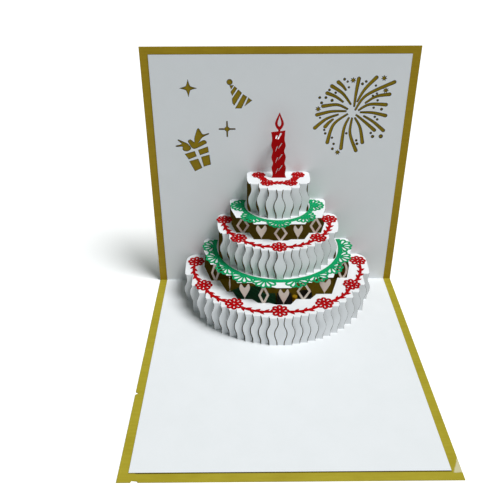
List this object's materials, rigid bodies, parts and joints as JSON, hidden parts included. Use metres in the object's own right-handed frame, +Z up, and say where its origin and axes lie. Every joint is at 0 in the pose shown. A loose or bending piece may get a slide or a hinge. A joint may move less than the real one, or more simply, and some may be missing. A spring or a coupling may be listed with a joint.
{
  "type": "pop up card",
  "caption": "Pop-up greeting card opened to a right angle: a folded white paper cake with a candle stands between the leaves, with gold showing through cut-outs.",
  "frame": {"origin": "middle of the gold base leaf's underside, at table level", "axes": "+X to the right as seen from the front, +Y to the back leaf, +Z up"},
  "size_m": [0.15, 0.15, 0.15],
  "materials": {
    "gold_card": "satin metallic print",
    "white_card": "matt",
    "green_paper": "matt",
    "red_paper": "matt",
    "green_board": "satin",
    "black_plastic": "satin",
    "yellow_plastic": "gloss",
    "cell_steel": "satin"
  },
  "bodies": {
    "root": {"cover": "gold_card", "inner_sheet": "white_card", "lower_lace": "green_paper", "upper_lace": "green_paper", "garland_bottom": "red_paper", "garland_middle": "red_paper", "garland_top": "red_paper", "candle": "red_paper", "circuit_board": "green_board", "black_chip": "black_plastic", "yellow_lamp": "yellow_plastic", "button_cell": "cell_steel"}
  },
  "joints": []
}
